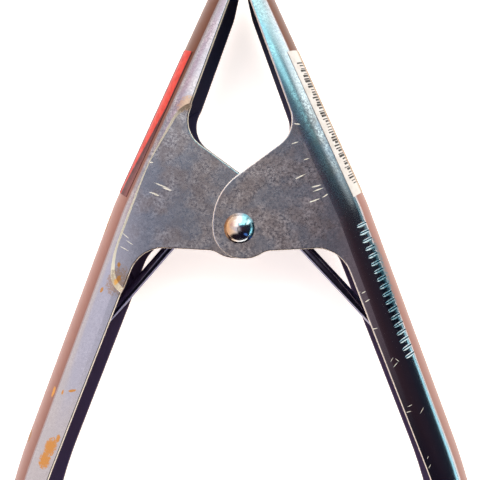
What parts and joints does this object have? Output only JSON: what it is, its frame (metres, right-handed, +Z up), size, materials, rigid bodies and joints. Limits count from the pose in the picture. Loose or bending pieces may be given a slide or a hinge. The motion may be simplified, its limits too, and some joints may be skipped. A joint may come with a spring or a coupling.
{
  "type": "spring clamp",
  "caption": "Plated steel spring clamp: two pressed channel halves with jaws and handles, crossing at one rivet and closed by a torsion spring.",
  "frame": {"origin": "centre of the clamp's outline in X and Y, at the level that it lies on, under the lower rivet head", "axes": "+X across the jaws to the half with the outer ears, +Y along the clamp to the jaws' tips, +Z up along the rivet"},
  "size_m": [0.1706, 0.2154, 0.0302],
  "materials": {
    "plated_steel": "bright zinc plate, faintly mottled",
    "rivet_steel": "polished plated head",
    "spring_steel": "dark oiled wire",
    "white_sticker": "satin film",
    "red_sticker": "satin film"
  },
  "bodies": {
    "outer_half": {"right_half": "plated_steel", "pivot_rivet": "rivet_steel", "torsion_spring": "spring_steel", "white_label": "white_sticker"},
    "inner_half": {"left_half": "plated_steel", "red_label": "red_sticker"}
  },
  "joints": [
    {"name": "jaw_hinge", "type": "hinge", "parent": "outer_half", "child": "inner_half", "pos_m": [0, 0.01166, 0.0143], "axis": [0, 0, 1], "range_deg": [0, 46], "stiffness_Nm_per_rad": 4, "springref_deg": -68.75, "deforming": ["torsion_spring"]}
  ]
}
